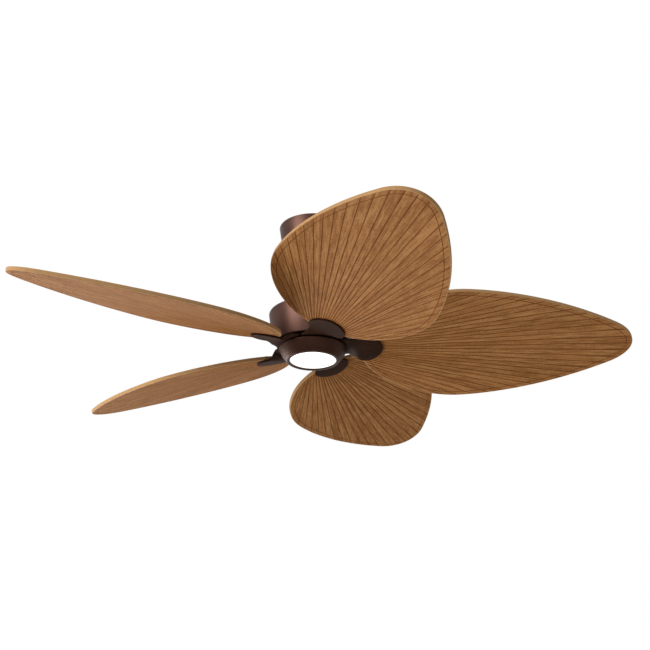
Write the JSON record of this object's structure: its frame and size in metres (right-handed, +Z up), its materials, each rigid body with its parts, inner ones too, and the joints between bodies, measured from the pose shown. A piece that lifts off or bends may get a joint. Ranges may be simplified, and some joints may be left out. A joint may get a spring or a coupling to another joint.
{
  "type": "ceiling fan",
  "caption": "Ceiling fan with palm-leaf blades carved with ribs, a bronze ball-hung downrod body with a tapered canopy, and a round light under the motor.",
  "frame": {"origin": "on the ceiling, in the middle of the hanger bracket's plate, on the fan's axis", "axes": "+Z up into the ceiling, +X out along the first blade, +Y along the hanger bracket"},
  "size_m": [1.2047, 1.2605, 0.3315],
  "materials": {
    "bronze": "satin oil-rubbed bronze",
    "dark_bronze": "satin dark bronze",
    "leaf": "satin, carved ribs, walnut stain",
    "steel": "zinc plated",
    "electrical_steel": "laminated",
    "magnet": "sintered ferrite",
    "nylon": "natural",
    "black_plastic": "fine texture",
    "diffuser": "opal",
    "board": "white solder mask"
  },
  "bodies": {
    "ceiling_mount": {"hanger_bracket": "steel", "canopy": "bronze", "canopy_screw_1": "dark_bronze", "canopy_screw_2": "dark_bronze", "receiver_box": "black_plastic"},
    "ball_seat": {"ball_seat": "nylon"},
    "fan_body": {"hanger_ball": "nylon", "ball_pin": "steel", "downrod": "dark_bronze", "yoke": "steel", "yoke_pin": "steel", "coupling_cover": "bronze", "motor_cover": "bronze", "motor_shaft": "steel", "stator_core": "electrical_steel", "light_plate": "steel", "shaft_nut": "steel", "led_board": "board", "light_housing": "bronze", "lens": "diffuser", "lens_bezel": "dark_bronze"},
    "rotor": {"rotor_shell": "dark_bronze", "magnet_ring": "magnet", "upper_bearing": "steel", "lower_bearing": "steel", "blade_iron_1": "dark_bronze", "blade_iron_2": "dark_bronze", "blade_iron_3": "dark_bronze", "blade_iron_4": "dark_bronze", "blade_iron_5": "dark_bronze", "blade_1": "leaf", "blade_2": "leaf", "blade_3": "leaf", "blade_4": "leaf", "blade_5": "leaf", "iron_screw_1_1": "dark_bronze", "iron_screw_1_2": "dark_bronze", "iron_screw_2_1": "dark_bronze", "iron_screw_2_2": "dark_bronze", "iron_screw_3_1": "dark_bronze", "iron_screw_3_2": "dark_bronze", "iron_screw_4_1": "dark_bronze", "iron_screw_4_2": "dark_bronze", "iron_screw_5_1": "dark_bronze", "iron_screw_5_2": "dark_bronze", "blade_screw_1_1": "dark_bronze", "blade_screw_1_2": "dark_bronze", "blade_screw_1_3": "dark_bronze", "blade_screw_2_1": "dark_bronze", "blade_screw_2_2": "dark_bronze", "blade_screw_2_3": "dark_bronze", "blade_screw_3_1": "dark_bronze", "blade_screw_3_2": "dark_bronze", "blade_screw_3_3": "dark_bronze", "blade_screw_4_1": "dark_bronze", "blade_screw_4_2": "dark_bronze", "blade_screw_4_3": "dark_bronze", "blade_screw_5_1": "dark_bronze", "blade_screw_5_2": "dark_bronze", "blade_screw_5_3": "dark_bronze"}
  },
  "joints": [
    {"name": "seat_tilt", "type": "hinge", "parent": "ceiling_mount", "child": "ball_seat", "pos_m": [0, 0, -0.046], "axis": [1, 0, 0], "range_deg": [-15, 15]},
    {"name": "rod_tilt", "type": "hinge", "parent": "ball_seat", "child": "fan_body", "pos_m": [0, 0, -0.046], "axis": [0, 1, 0], "range_deg": [-15, 15]},
    {"name": "rotor_spin", "type": "hinge", "parent": "fan_body", "child": "rotor", "pos_m": [0, 0, -0.25], "axis": [0, 0, 1], "continuous": true}
  ]
}
